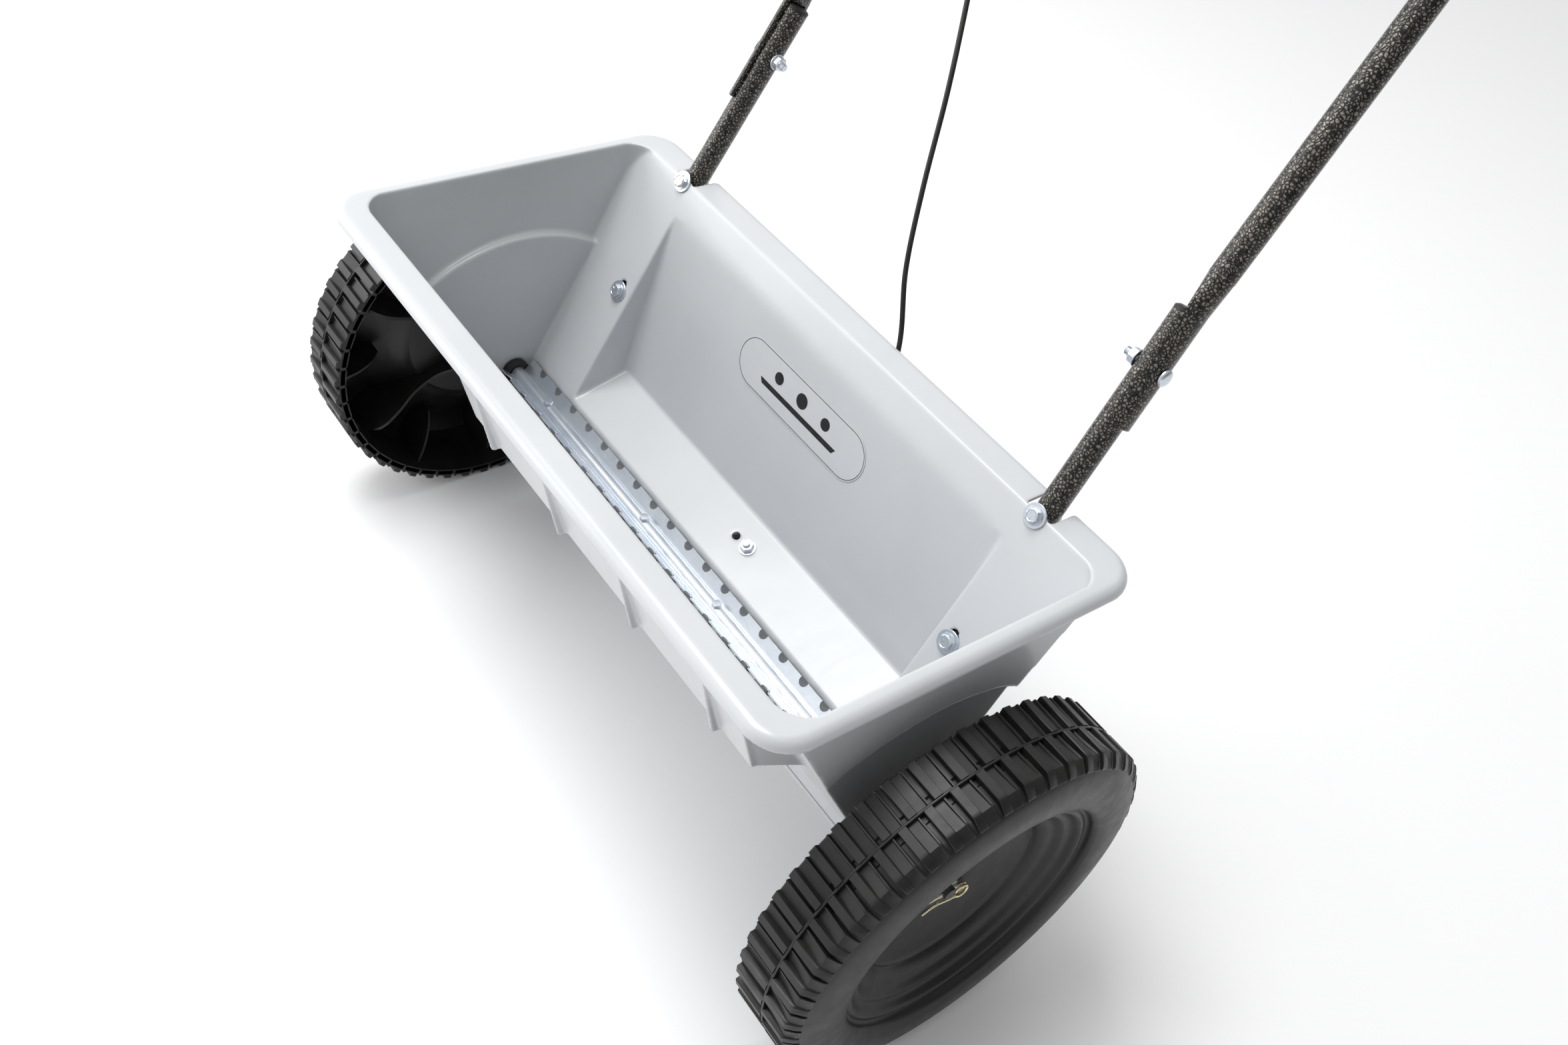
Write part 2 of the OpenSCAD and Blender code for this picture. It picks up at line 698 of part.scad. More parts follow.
module tube_path(side, r, leg, over) {
    tube_frame(side) translate([0, 0, -corner_s + leg_bend_r])
        cylinder(h = cap_s + corner_s - leg_bend_r + over, r = r, $fn = fn_round);
    bend_frame(side) rotate_extrude(angle = 90, $fn = 96)
        translate([leg_bend_r, 0]) circle(r, $fn = fn_round);
    leg_frame(side) cylinder(h = leg + over, r = r, $fn = fn_round);
}

module lower_tube(side) {
    leg = leg_len - leg_bend_r;
    color("#5a554c") at_axle() difference() {
        tube_path(side, tube_r, leg, 0);
        tube_path(side, tube_r - tube_wall, leg, 1);
        tube_frame(side) {
            for (s = bolt_s) translate([0, -20, s]) rotate([-90, 0, 0])
                cylinder(h = 40, r = 3.2, $fn = 32);
            translate([-20, 0, lap_bolt_s]) along_x() cylinder(h = 40, r = 3.2, $fn = 32);
        }
    }
}
module lower_tube_left() { lower_tube(-1); }
module lower_tube_right() { lower_tube(1); }

module tube_cap(side) {
    color("#202020") at_axle() tube_frame(side) translate([0, 0, cap_s]) {
        translate([0, 0, -12]) cylinder(h = 12.01, r = tube_r - tube_wall - 0.05, $fn = fn_round);
        cylinder(h = 2, r = tube_r, $fn = fn_round);
        translate([0, 0, 2]) cylinder(h = 1.4, r1 = tube_r, r2 = tube_r - 2.5, $fn = fn_round);
    }
}
module tube_cap_left() { tube_cap(-1); }
module tube_cap_right() { tube_cap(1); }

// Foot cap over the end of a leg, cut level with the ground
module foot(side) {
    leg = leg_len - leg_bend_r;
    color("#202020") at_axle() difference() {
        leg_frame(side) difference() {
            translate([0, 0, leg - 32]) cylinder(h = 50, r = tube_r + 2.5, $fn = fn_round);
            translate([0, 0, leg - 80]) cylinder(h = 80, r = tube_r + 0.05, $fn = fn_round);
        }
        translate([0, 250, -wheel_r - 50]) cube([800, 400, 100], center = true);
    }
}
module foot_left() { foot(-1); }
module foot_right() { foot(1); }

module handle_path(r, over) {
    top = bar_s - corner_r;
    handle_frame() {
        both_sides() {
            translate([handle_x, 0, round_start - over]) cylinder(h = top - round_start + over, r = r,
                $fn = fn_round);
            translate([handle_x - corner_r, 0, top]) rotate([90, 0, 0])
                rotate_extrude(angle = 90, $fn = 96) translate([corner_r, 0]) circle(r, $fn = fn_round);
        }
        translate([0, 0, bar_s]) along_x() cylinder(h = 2 * (handle_x - corner_r), r = r,
            center = true, $fn = fn_round);
    }
}

// Crushed end of an upper tube: a crescent on the outer side of the lower tube
module crescent(r_in, t, h, facets = 96) {
    rotate([0, 0, -75]) rotate_extrude(angle = 150, $fn = facets) translate([r_in, 0]) square([t, h]);
}

module handle_tube() {
    inner = tube_r + 0.1;
    color("#5a554c") at_axle() difference() {
        union() {
            difference() {
                handle_path(tube_r, 0);
                handle_path(tube_r - tube_wall, -2);
            }
            for (side = SIDES) {
                tube_frame(side) translate([0, 0, lap_start])
                    crescent(inner, lap_t, lap_end - lap_start + 1);
                hull() {
                    tube_frame(side) translate([0, 0, lap_end]) crescent(inner, lap_t, 1, 32);
                    handle_frame() translate([side * handle_x, 0, round_start - 1])
                        cylinder(h = 2, r = tube_r - 0.3, $fn = 32);
                }
            }
        }
        for (side = SIDES) tube_frame(side) translate([0, 0, lap_bolt_s]) along_x()
            cylinder(h = 40, r = 3.2, $fn = 32);
    }
}

module foam_grip() {
    color("#1f1f1f") at_axle() handle_frame() translate([0, 0, bar_s]) along_x() difference() {
        cylinder(h = grip_len, r = grip_r, center = true, $fn = fn_round);
        cylinder(h = grip_len + 2, r = tube_r + 0.05, center = true, $fn = fn_round);
    }
}

// ---- fasteners of the handle ----

module hopper_bolts() {
    color("silver") at_axle() for (side = SIDES, s = bolt_s) tube_frame(side)
        translate([0, -tube_off - 1.6, s]) rotate([-90, 0, 0]) hex_bolt(10, 4, 3, 31);
}
module hopper_washers() {
    color("silver") at_axle() for (side = SIDES, s = bolt_s) tube_frame(side)
        translate([0, -tube_off - 1.6, s]) rotate([-90, 0, 0]) washer(9, 3.1, 1.6);
}
module hopper_nuts() {
    color("silver") at_axle() for (side = SIDES, s = bolt_s) tube_frame(side)
        translate([0, tube_r, s]) rotate([-90, 0, 0]) hex_nut(10, 5, 3.05);
}
module handle_bolts() {
    color("silver") at_axle() for (side = SIDES) tube_frame(side)
        translate([tube_r + 0.1 + lap_t, 0, lap_bolt_s]) rotate([0, -90, 0]) {
            cylinder(h = 34, r = 3, $fn = 32);
            translate([0, 0, -3]) cylinder(h = 3, r1 = 4.5, r2 = 6.5, $fn = 32);
        }
}
module handle_nuts() {
    color("silver") at_axle() for (side = SIDES) tube_frame(side)
        translate([-tube_r, 0, lap_bolt_s]) rotate([0, -90, 0]) {
            washer(6.5, 3.05, 1.2);
            translate([0, 0, 1.2]) hex_nut(10, 5, 3.05);
        }
}

// ---- control ----

module control_housing() {
    base_x = 0.3;
    color("#262626") at_axle() control_frame() difference() {
        union() {
            translate([base_x, -20, -15]) cube([14, 40, 30]);
            translate([12, 0, 0]) along_x() cylinder(h = 18, r = case_r, $fn = fn_round);
            translate([drum_x, drum_r, -sheath_top_s + 10]) cylinder(h = 30, r = 5, $fn = 32);
        }
        translate([0, 0, -50]) cylinder(h = 100, r = tube_r + 0.05, $fn = fn_round);
        translate([15.5, 0, 0]) along_x() cylinder(h = 20, r = case_r - 2.5, $fn = fn_round);
        translate([16, -40, -18]) cube([20, 30, 36]);
        translate([10, 0, 0]) along_x() cylinder(h = 12, r = 2.5, $fn = 32);
        translate([drum_x, drum_r, -60]) cylinder(h = 60, r = 1.1, $fn = 24);
        translate([drum_x, drum_r, -60]) cylinder(h = 26, r = 2.5, $fn = 32);
        for (y = SIDES) translate([-10, y * 16, 0]) along_x() cylinder(h = 21, r = 1.6, $fn = 24);
    }
}

module control_cover() {
    color("#262626") at_axle() control_frame() difference() {
        translate([30, 0, 0]) along_x() cylinder(h = 2.5, r = case_r, $fn = fn_round);
        translate([20, 0, 0]) along_x() cylinder(h = 20, r = 2.5, $fn = 32);
        translate([28, -40, -18]) cube([10, 18, 36]);
    }
}

module control_clamp() {
    color("#262626") at_axle() control_frame() difference() {
        union() {
            translate([-13, -10, -12]) cube([12.7, 20, 24]);
            translate([-4, -20, -12]) cube([3.7, 40, 24]);
        }
        translate([0, 0, -50]) cylinder(h = 100, r = tube_r + 0.05, $fn = fn_round);
        for (y = SIDES) translate([-10, y * 16, 0]) along_x() cylinder(h = 21, r = 1.7, $fn = 24);
    }
}

module control_screws() {
    color("silver") at_axle() control_frame() for (y = SIDES) translate([-4, y * 16, 0]) along_x() {
        cylinder(h = 14, r = 1.5, $fn = 24);
        translate([0, 0, -2]) cylinder(h = 2, r = 3, $fn = 32);
    }
}

// Drum with the wire groove, and the arm that leaves the housing through its slot
module rate_lever() {
    color("#303030") at_axle() control_frame() difference() {
        union() {
            translate([17, 0, 0]) along_x() rotate_extrude($fn = fn_round)
                polygon([[0, 0], [18.8, 0], [18.8, 2.2], [drum_r - wire_r - 0.3, 2.2],
                    [drum_r - wire_r - 0.3, 7.8], [18.8, 7.8], [18.8, 10], [0, 10]]);
            rotate([-lever_rest, 0, 0]) translate([19, -74, -5]) cube([6, 60, 10]);
        }
        along_x() cylinder(h = 60, r = 2.5 + run_gap, $fn = 32);
        rotate([55, 0, 0]) translate([10, drum_r, 0]) along_x() cylinder(h = 20, r = 2.35, $fn = 32);
    }
}

module lever_knob() {
    color("#b01818") at_axle() control_frame() rotate([-lever_rest, 0, 0]) difference() {
        union() {
            translate([22, -88, 0]) sphere(10, $fn = 48);
            translate([22, -66, 0]) rotate([90, 0, 0]) cylinder(h = 16, r1 = 7, r2 = 8.5, $fn = 48);
        }
        translate([18.95, -75, -5.05]) cube([6.1, 20, 10.1]);
    }
}

module lever_bolt() {
    color("silver") at_axle() control_frame() {
        translate([10, 0, 0]) along_x() cylinder(h = 22.6, r = 2.5, $fn = 32);
        translate([32.5, 0, 0]) along_x() cylinder(h = 3, r = 4, $fn = 6);
    }
}

hopper();
bush_left();
bush_right();
axle();
agitator();
agitator_screws();
drive_wheel();
free_wheel();
drive_pin();
axle_washers();
r_clip_left();
r_clip_right();
shutter();
shutter_guide_front();
shutter_guide_rear();
guide_screws();
return_spring();
cable_bracket();
bracket_bolt();
bracket_washer();
bracket_nut();
bracket_rivet();
cable_sheath();
ferrule_lower();
ferrule_upper();
inner_wire_lower();
inner_wire_upper();
wire_clamp();
wire_nipple();
lower_tube_left();
lower_tube_right();
tube_cap_left();
tube_cap_right();
foot_left();
foot_right();
handle_tube();
foam_grip();
hopper_bolts();
hopper_washers();
hopper_nuts();
handle_bolts();
handle_nuts();
control_housing();
control_cover();
control_screws();
control_clamp();
rate_lever();
lever_knob();
lever_bolt();
panel_badge();
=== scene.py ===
"""Looks of a walk-behind drop spreader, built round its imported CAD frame."""

import json
import math

import bmesh
import bpy
from mathutils import Matrix, Vector


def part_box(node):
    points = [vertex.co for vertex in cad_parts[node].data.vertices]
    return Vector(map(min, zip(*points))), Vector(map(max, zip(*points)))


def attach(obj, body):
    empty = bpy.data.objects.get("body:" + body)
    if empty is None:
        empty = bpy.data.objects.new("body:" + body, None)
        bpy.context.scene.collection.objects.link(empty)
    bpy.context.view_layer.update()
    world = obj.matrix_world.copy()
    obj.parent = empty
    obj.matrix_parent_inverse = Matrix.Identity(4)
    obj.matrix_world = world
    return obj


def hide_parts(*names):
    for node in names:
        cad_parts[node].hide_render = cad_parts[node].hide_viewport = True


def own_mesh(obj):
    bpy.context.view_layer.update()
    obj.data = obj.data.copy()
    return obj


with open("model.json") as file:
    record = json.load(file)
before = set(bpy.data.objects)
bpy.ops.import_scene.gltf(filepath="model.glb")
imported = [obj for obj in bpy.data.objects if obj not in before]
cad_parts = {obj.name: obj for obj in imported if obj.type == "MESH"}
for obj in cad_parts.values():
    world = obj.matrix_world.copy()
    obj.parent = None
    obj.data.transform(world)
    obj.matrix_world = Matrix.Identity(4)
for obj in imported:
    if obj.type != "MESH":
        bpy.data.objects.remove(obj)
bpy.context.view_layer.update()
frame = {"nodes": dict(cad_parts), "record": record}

MM = 0.001
NODES = frame["nodes"]
RECORD = frame["record"]
BODY_OF = {node: body for body, nodes in RECORD["behaviour"]["bodies"].items() for node in nodes}
SLOT_OF = {part["node"]: part["material_slot"] for part in RECORD["subparts"]}

# The axle's centre
AXLE_LOW, AXLE_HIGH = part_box("axle")
AXLE = (AXLE_LOW + AXLE_HIGH) / 2

# Driving sizes, in millimetres from the axle's centre
WHEEL_R = 152.5
TUBE_R = 9.5
REAR_TILT = math.radians(26.25)         # of the handle, back from upright
LEAN = math.radians(1.95)               # of the lower tubes, sideways
JOINT = Vector((216.8, 130.48, 200))    # origin of the tubes' frames, on the right lower tube
TUBE_OFF = 12.6                         # from a lower tube's middle to the rear panel's face
PANEL_FOOT = (72, 27)                   # rear panel's lower edge, as (y, z)
PANEL_TOP = (104.8, 176.3)              # and its upper edge
WIRE_Y, WIRE_Z = 50, -8                 # line of the inner wire under the hopper


# ---- camera ----


def add_camera():
    """Camera high up in front of the right wheel, looking down into the hopper with a roll."""
    eye = Vector((0.6144, -0.67806, 0.9818))
    target = Vector((-0.0075, -0.04916, 0.1461))
    roll = math.radians(-13.53)
    view = (target - eye).normalized()
    level = view.cross(Vector((0, 0, 1))).normalized()
    down = view.cross(level)
    right = math.cos(roll) * level + math.sin(roll) * down
    up = -(math.cos(roll) * down - math.sin(roll) * level)
    camera = bpy.data.objects.new("camera", bpy.data.cameras.new("camera"))
    camera.data.sensor_width = 36
    camera.data.lens = 33.06
    camera.matrix_world = Matrix((
        (right.x, up.x, -view.x, eye.x),
        (right.y, up.y, -view.y, eye.y),
        (right.z, up.z, -view.z, eye.z),
        (0, 0, 0, 1)))
    bpy.context.scene.collection.objects.link(camera)
    bpy.context.scene.camera = camera


# ---- material helpers ----

# Places of the colour sockets on a Mix node, whose socket names repeat
MIX_COLOR_A = 6
MIX_COLOR_B = 7
MIX_COLOR_OUT = 2


class Shader:
    """One material's node tree, with short calls for the nodes used here."""

    def __init__(self, name, color, roughness, metallic=0.0):
        self.material = bpy.data.materials.new(name)
        self.material.use_nodes = True
        self.tree = self.material.node_tree
        self.surface = self.tree.nodes["Principled BSDF"]
        self.set("Base Color", (*color, 1))
        self.set("Roughness", roughness)
        self.set("Metallic", metallic)
        self.material.diffuse_color = (*color, 1)
        self.place = self.tree.nodes.new("ShaderNodeTexCoord").outputs["Object"]

    def set(self, socket, value):
        self.surface.inputs[socket].default_value = value

    def link(self, a, b):
        self.tree.links.new(a, b)

    def noise(self, scale, detail=4.0, roughness=0.55, stretch=None):
        node = self.tree.nodes.new("ShaderNodeTexNoise")
        node.inputs["Scale"].default_value = scale
        node.inputs["Detail"].default_value = detail
        node.inputs["Roughness"].default_value = roughness
        self.link(self.stretched(stretch), node.inputs["Vector"])
        return node.outputs["Fac"]

    def stretched(self, stretch):
        if stretch is None:
            return self.place
        node = self.tree.nodes.new("ShaderNodeMapping")
        node.inputs["Scale"].default_value = stretch
        self.link(self.place, node.inputs["Vector"])
        return node.outputs["Vector"]

    def cells(self, scale, feature="DISTANCE_TO_EDGE", warp=0.0, warp_scale=500.0):
        node = self.tree.nodes.new("ShaderNodeTexVoronoi")
        node.feature = feature
        node.inputs["Scale"].default_value = scale
        vector = self.place
        if warp:
            noise = self.tree.nodes.new("ShaderNodeTexNoise")
            noise.inputs["Scale"].default_value = warp_scale
            noise.inputs["Detail"].default_value = 2
            self.link(self.place, noise.inputs["Vector"])
            shift = self.tree.nodes.new("ShaderNodeVectorMath")
            shift.operation = "MULTIPLY_ADD"
            self.link(noise.outputs["Color"], shift.inputs[0])
            shift.inputs[1].default_value = (warp, warp, warp)
            self.link(self.place, shift.inputs[2])
            vector = shift.outputs["Vector"]
        self.link(vector, node.inputs["Vector"])
        return node.outputs["Distance"]

    def ramp(self, value, stops):
        node = self.tree.nodes.new("ShaderNodeValToRGB")
        ramp = node.color_ramp
        while len(ramp.elements) < len(stops):
            ramp.elements.new(0.5)
        for element, (position, color) in zip(ramp.elements, stops):
            element.position = position
            element.color = (*color, 1) if not isinstance(color, float) else (color,) * 3 + (1,)
        self.link(value, node.inputs["Fac"])
        return node.outputs["Color"]

    def multiplied(self, color, other, share):
        """Colour times another colour, by share."""
        node = self.tree.nodes.new("ShaderNodeMix")
        node.data_type = "RGBA"
        node.blend_type = "MULTIPLY"
        node.inputs["Factor"].default_value = share
        self.link(color, node.inputs[MIX_COLOR_A])
        self.link(other, node.inputs[MIX_COLOR_B])
        return node.outputs[MIX_COLOR_OUT]

    def bump(self, height, strength, distance, below=None):
        node = self.tree.nodes.new("ShaderNodeBump")
        node.inputs["Strength"].default_value = strength
        node.inputs["Distance"].default_value = distance
        self.link(height, node.inputs["Height"])
        if below is not None:
            self.link(below, node.inputs["Normal"])
        return node.outputs["Normal"]

    def use(self, color=None, roughness=None, normal=None):
        if color is not None:
            self.link(color, self.surface.inputs["Base Color"])
        if roughness is not None:
            self.link(roughness, self.surface.inputs["Roughness"])
        if normal is not None:
            self.link(normal, self.surface.inputs["Normal"])
        return self.material


# ---- materials ----


def hopper_material():
    s = Shader("hopper_plastic", (0.545, 0.56, 0.575), 0.34)
    s.set("Specular IOR Level", 0.5)
    s.set("Coat Weight", 0.25)
    s.set("Coat Roughness", 0.12)
    cloud = s.noise(9, 3)
    grain = s.noise(1400, 2)
    scuffs = s.noise(160, 6, 0.7, stretch=(1, 0.25, 0.25))
    color = s.ramp(cloud, [(0.3, (0.525, 0.54, 0.555)), (0.7, (0.565, 0.58, 0.595))])
    rough = s.ramp(scuffs, [(0.35, 0.30), (0.75, 0.42)])
    fine = s.bump(grain, 0.06, 0.0002)
    return s.use(color, rough, s.bump(scuffs, 0.05, 0.0004, fine))


def black_material():
    s = Shader("black_plastic", (0.011, 0.011, 0.0105), 0.42)
    s.set("Specular IOR Level", 0.4)
    wear = s.noise(60, 5, 0.65)
    grain = s.noise(1600, 2)
    color = s.ramp(wear, [(0.35, (0.008, 0.008, 0.0076)), (0.75, (0.016, 0.0155, 0.014))])
    rough = s.ramp(wear, [(0.3, 0.34), (0.7, 0.50)])
    fine = s.bump(grain, 0.12, 0.0002)
    return s.use(color, rough, s.bump(wear, 0.08, 0.0008, fine))


def knob_material():
    s = Shader("knob_plastic", (0.42, 0.025, 0.02), 0.30)
    wear = s.noise(120, 4)
    s.set("Coat Weight", 0.2)
    color = s.ramp(wear, [(0.3, (0.38, 0.02, 0.017)), (0.7, (0.46, 0.03, 0.024))])
    rough = s.ramp(wear, [(0.3, 0.26), (0.7, 0.36)])
    return s.use(color, rough, s.bump(s.noise(900, 2), 0.08, 0.0002))


def rubber_material():
    s = Shader("foot_rubber", (0.02, 0.02, 0.02), 0.7)
    dust = s.noise(90, 5, 0.6)
    color = s.ramp(dust, [(0.35, (0.015, 0.015, 0.015)), (0.8, (0.045, 0.043, 0.04))])
    rough = s.ramp(dust, [(0.3, 0.62), (0.7, 0.8)])
    return s.use(color, rough, s.bump(s.noise(1200, 2), 0.25, 0.0003))


def foam_material():
    s = Shader("foam", (0.022, 0.022, 0.023), 0.85)
    pores = s.cells(900, "F1")
    s.set("Sheen Weight", 0.25)
    s.set("Sheen Roughness", 0.5)
    cloud = s.noise(50, 3)
    color = s.ramp(cloud, [(0.3, (0.018, 0.018, 0.019)), (0.7, (0.03, 0.03, 0.031))])
    return s.use(color, s.ramp(cloud, [(0.3, 0.8), (0.7, 0.9)]), s.bump(pores, 0.5, 0.0006))


def hammered_material():
    s = Shader("tube_paint", (0.16, 0.145, 0.12), 0.34, 0.55)
    veins = s.cells(430, warp=0.0016, warp_scale=520)
    fleck = s.noise(900, 3, 0.6)
    color = s.ramp(veins, [(0.04, (0.006, 0.006, 0.006)), (0.13, (0.035, 0.032, 0.028)),
                           (0.26, (0.25, 0.225, 0.185)), (0.6, (0.40, 0.365, 0.30))])
    flecked = s.multiplied(color, s.ramp(fleck, [(0.35, 0.35), (0.65, 1.0)]), 0.75)
    s.set("Coat Weight", 0.35)
    s.set("Coat Roughness", 0.12)
    height = s.ramp(veins, [(0.0, 0.0), (0.35, 1.0)])
    rough = s.ramp(veins, [(0.1, 0.22), (0.4, 0.38)])
    return s.use(flecked, rough, s.bump(height, 0.5, 0.0006))


def zinc_material():
    s = Shader("zinc", (0.68, 0.71, 0.75), 0.3, 0.9)
    brushed = s.noise(2600, 3, 0.5, stretch=(0.03, 1, 1))
    cloud = s.noise(45, 4)
    color = s.ramp(cloud, [(0.3, (0.62, 0.67, 0.73)), (0.7, (0.72, 0.75, 0.79))])
    rough = s.ramp(brushed, [(0.3, 0.27), (0.7, 0.34)])
    return s.use(color, rough, s.bump(brushed, 0.04, 0.00002))


# Steel for the axle, darker than the zinc of its slot. The darkness is painted shade for the axle
# end, which sits in shadow inside the wheel's dish. It is laid over the darker tone of plain unplated
# steel.
def shade_darkened_steel_material():
    s = Shader("shade_darkened_steel", (0.11, 0.11, 0.108), 0.45, 0.9)
    marks = s.noise(900, 4, 0.6, stretch=(0.1, 1, 1))
    color = s.ramp(marks, [(0.3, (0.09, 0.09, 0.088)), (0.7, (0.14, 0.14, 0.137))])
    return s.use(color, s.ramp(marks, [(0.3, 0.4), (0.7, 0.52)]), s.bump(marks, 0.05, 0.00004))


def clip_material():
    s = Shader("clip_zinc", (0.80, 0.72, 0.45), 0.25, 1.0)
    cloud = s.noise(300, 4)
    color = s.ramp(cloud, [(0.3, (0.74, 0.66, 0.40)), (0.7, (0.86, 0.80, 0.58))])
    return s.use(color, s.ramp(cloud, [(0.3, 0.2), (0.7, 0.35)]), s.bump(cloud, 0.1, 0.0002))


def badge_material():
    s = Shader("badge_film", (0.56, 0.575, 0.59), 0.22)
    cloud = s.noise(30, 3)
    color = s.ramp(cloud, [(0.3, (0.55, 0.565, 0.58)), (0.7, (0.575, 0.59, 0.605))])
    rough = s.ramp(cloud, [(0.3, 0.2), (0.7, 0.27)])
    return s.use(color, rough, s.bump(s.noise(1500, 2), 0.05, 0.0001))


def ink_material():
    s = Shader("badge_ink", (0.008, 0.008, 0.008), 0.28)
    cloud = s.noise(200, 3)
    color = s.ramp(cloud, [(0.3, (0.006, 0.006, 0.006)), (0.7, (0.012, 0.012, 0.012))])
    return s.use(color, s.ramp(cloud, [(0.3, 0.24), (0.7, 0.34)]))


def make_materials():
    return {
        "hopper_plastic": hopper_material(),
        "black_plastic": black_material(),
        "knob_plastic": knob_material(),
        "foot_rubber": rubber_material(),
        "foam": foam_material(),
        "tube_paint": hammered_material(),
        "zinc": zinc_material(),
        "shade_darkened_steel": shade_darkened_steel_material(),
        "clip_zinc": clip_material(),
        "badge_film": badge_material(),
        "badge_ink": ink_material(),
    }


# ---- mesh helpers; outlines are in millimetres from the axle's centre ----

WELD = 2e-6     # metres between CAD corners that are the same


def mark_edges(bm, degrees):
    limit = math.radians(degrees)
    for face in bm.faces:
        face.smooth = True
    for edge in bm.edges:
        edge.smooth = edge.is_manifold and edge.calc_face_angle(0) < limit


def finish_piece(name, bm, node, replaced, degrees=38, material=None):
    """Object from a bmesh, on the body and in the slot of a CAD node."""
    bmesh.ops.recalc_face_normals(bm, faces=bm.faces)
    mark_edges(bm, degrees)
    mesh = bpy.data.meshes.new(name)
    bm.to_mesh(mesh)
    bm.free()
    mesh.materials.append(MATERIALS[material or SLOT_OF[node]])
    piece = bpy.data.objects.new(name, mesh)
    bpy.context.scene.collection.objects.link(piece)
    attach(piece, BODY_OF[node])
    if replaced:
        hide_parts(*replaced)
    return piece


def new_piece(name, parts, node, degrees=38, replaced=None, material=None):
    """One object from several (points, faces) pairs, which stands in for its CAD node."""
    bm = bmesh.new()
    for points, faces in parts:
        made = [bm.verts.new(AXLE + Vector(p) * MM) for p in points]
        for face in faces:
            bm.faces.new([made[i] for i in face])
    return finish_piece(name, bm, node, [node] if replaced is None else replaced, degrees, material)


def loft(rings, capped=True, joined=False):
    """Skin over rings of points; each ring is closed, and joined also closes the row of rings."""
    n = len(rings[0])
    points = [p for ring in rings for p in ring]
    spans = len(rings) if joined else len(rings) - 1
    faces = []
    for i in range(spans):
        a, b = i * n, ((i + 1) % len(rings)) * n
        faces += [(a + k, a + (k + 1) % n, b + (k + 1) % n, b + k) for k in range(n)]
    if capped and not joined:
        faces.append(tuple(range(n))[::-1])
        faces.append(tuple((len(rings) - 1) * n + k for k in range(n)))
    return points, faces


def around(steps):
    """Angles of a full turn in equal steps."""
    return [2 * math.pi * i / steps for i in range(steps)]


def lathe(profile, steps):
    """Outline of (radius, x) pairs turned about the axle."""
    return loft([[(x, r * math.sin(a), r * math.cos(a)) for r, x in profile] for a in around(steps)],
                joined=True)


def moved(part, matrix):
    points, faces = part
    return [matrix @ Vector(p) for p in points], faces


def mirrored(part):
    points, faces = part
    return [(-p[0], p[1], p[2]) for p in points], faces


def smooth_line(points, steps):
    """Curve through the points, with steps per stretch."""
    pts = [Vector(p) for p in points]
    line = []
    for i in range(len(pts) - 1):
        a, b, c, d = pts[max(i - 1, 0)], pts[i], pts[i + 1], pts[min(i + 2, len(pts) - 1)]
        for k in range(steps):
            t = k / steps
            line.append(0.5 * (2 * b + (c - a) * t + (2 * a - 5 * b + 4 * c - d) * t * t
                               + (3 * b - a - 3 * c + d) * t ** 3))
    return line + [pts[-1]]


def tube(line, radius, sides=16, rounded=False):
    """Round bar along a line of points."""
    line = [Vector(p) for p in line]
    tangent = (line[1] - line[0]).normalized()
    side = tangent.orthogonal().normalized()
    rings = []
    for i, point in enumerate(line):
        ahead = (line[min(i + 1, len(line) - 1)] - line[max(i - 1, 0)]).normalized()
        side = (tangent.rotation_difference(ahead) @ side).normalized()
        tangent = ahead
        other = tangent.cross(side)
        rings.append([point + radius * (math.cos(t) * side + math.sin(t) * other)
                      for t in around(sides)])
    if rounded:
        share, reach = 0.7, 0.3     # of the radius: the end face, and how far it stands out
        first = [line[0] + (p - line[0]) * share - (line[1] - line[0]).normalized() * radius * reach
                 for p in rings[0]]
        last = [line[-1] + (p - line[-1]) * share
                + (line[-1] - line[-2]).normalized() * radius * reach for p in rings[-1]]
        rings = [first] + rings + [last]
    return loft(rings)


def turned(profile, sides, matrix, ring=False):
    """Outline of (radius, height) pairs turned about Z, then moved. A ring stays open inside."""
    rings = [[(r * math.cos(a), r * math.sin(a), z) for a in around(sides)] for r, z in profile]
    return moved(loft(rings, joined=ring), matrix)


def refined(node, bevel=0.35, degrees=30):
    """CAD node with its flat faces merged and its sharp edges rounded by bevel millimetres."""
    bm = bmesh.new()
    bm.from_mesh(NODES[node].data)
    bmesh.ops.remove_doubles(bm, verts=bm.verts, dist=WELD)
    bmesh.ops.dissolve_limit(bm, angle_limit=math.radians(0.6), verts=bm.verts, edges=bm.edges)
    sharp = [e for e in bm.edges if e.is_manifold and e.calc_face_angle(0) > math.radians(degrees)]
    bmesh.ops.bevel(bm, geom=sharp, offset=bevel * MM, segments=2, profile=0.7, affect="EDGES",
                    clamp_overlap=True)
    # The axle gets the steel darkened with painted shade, for its end that sits in shadow inside the
    # wheel's dish.
    look = "shade_darkened_steel" if node == "axle" else None
    return finish_piece(node + "_look", bm, node, [node], 34, look)


# ---- wheels ----

SEAM = 335          # between the two rows of lugs, along the axle
TREAD_IN = 306      # inner edge of the tread
BASE_R = 147.5      # the tread between the lugs
GROOVE_R = 146.3    # floor of the grooves beside the middle ridge
LUGS = 48           # in each row
RIBS = 6            # long ones; as many short ones stand between them


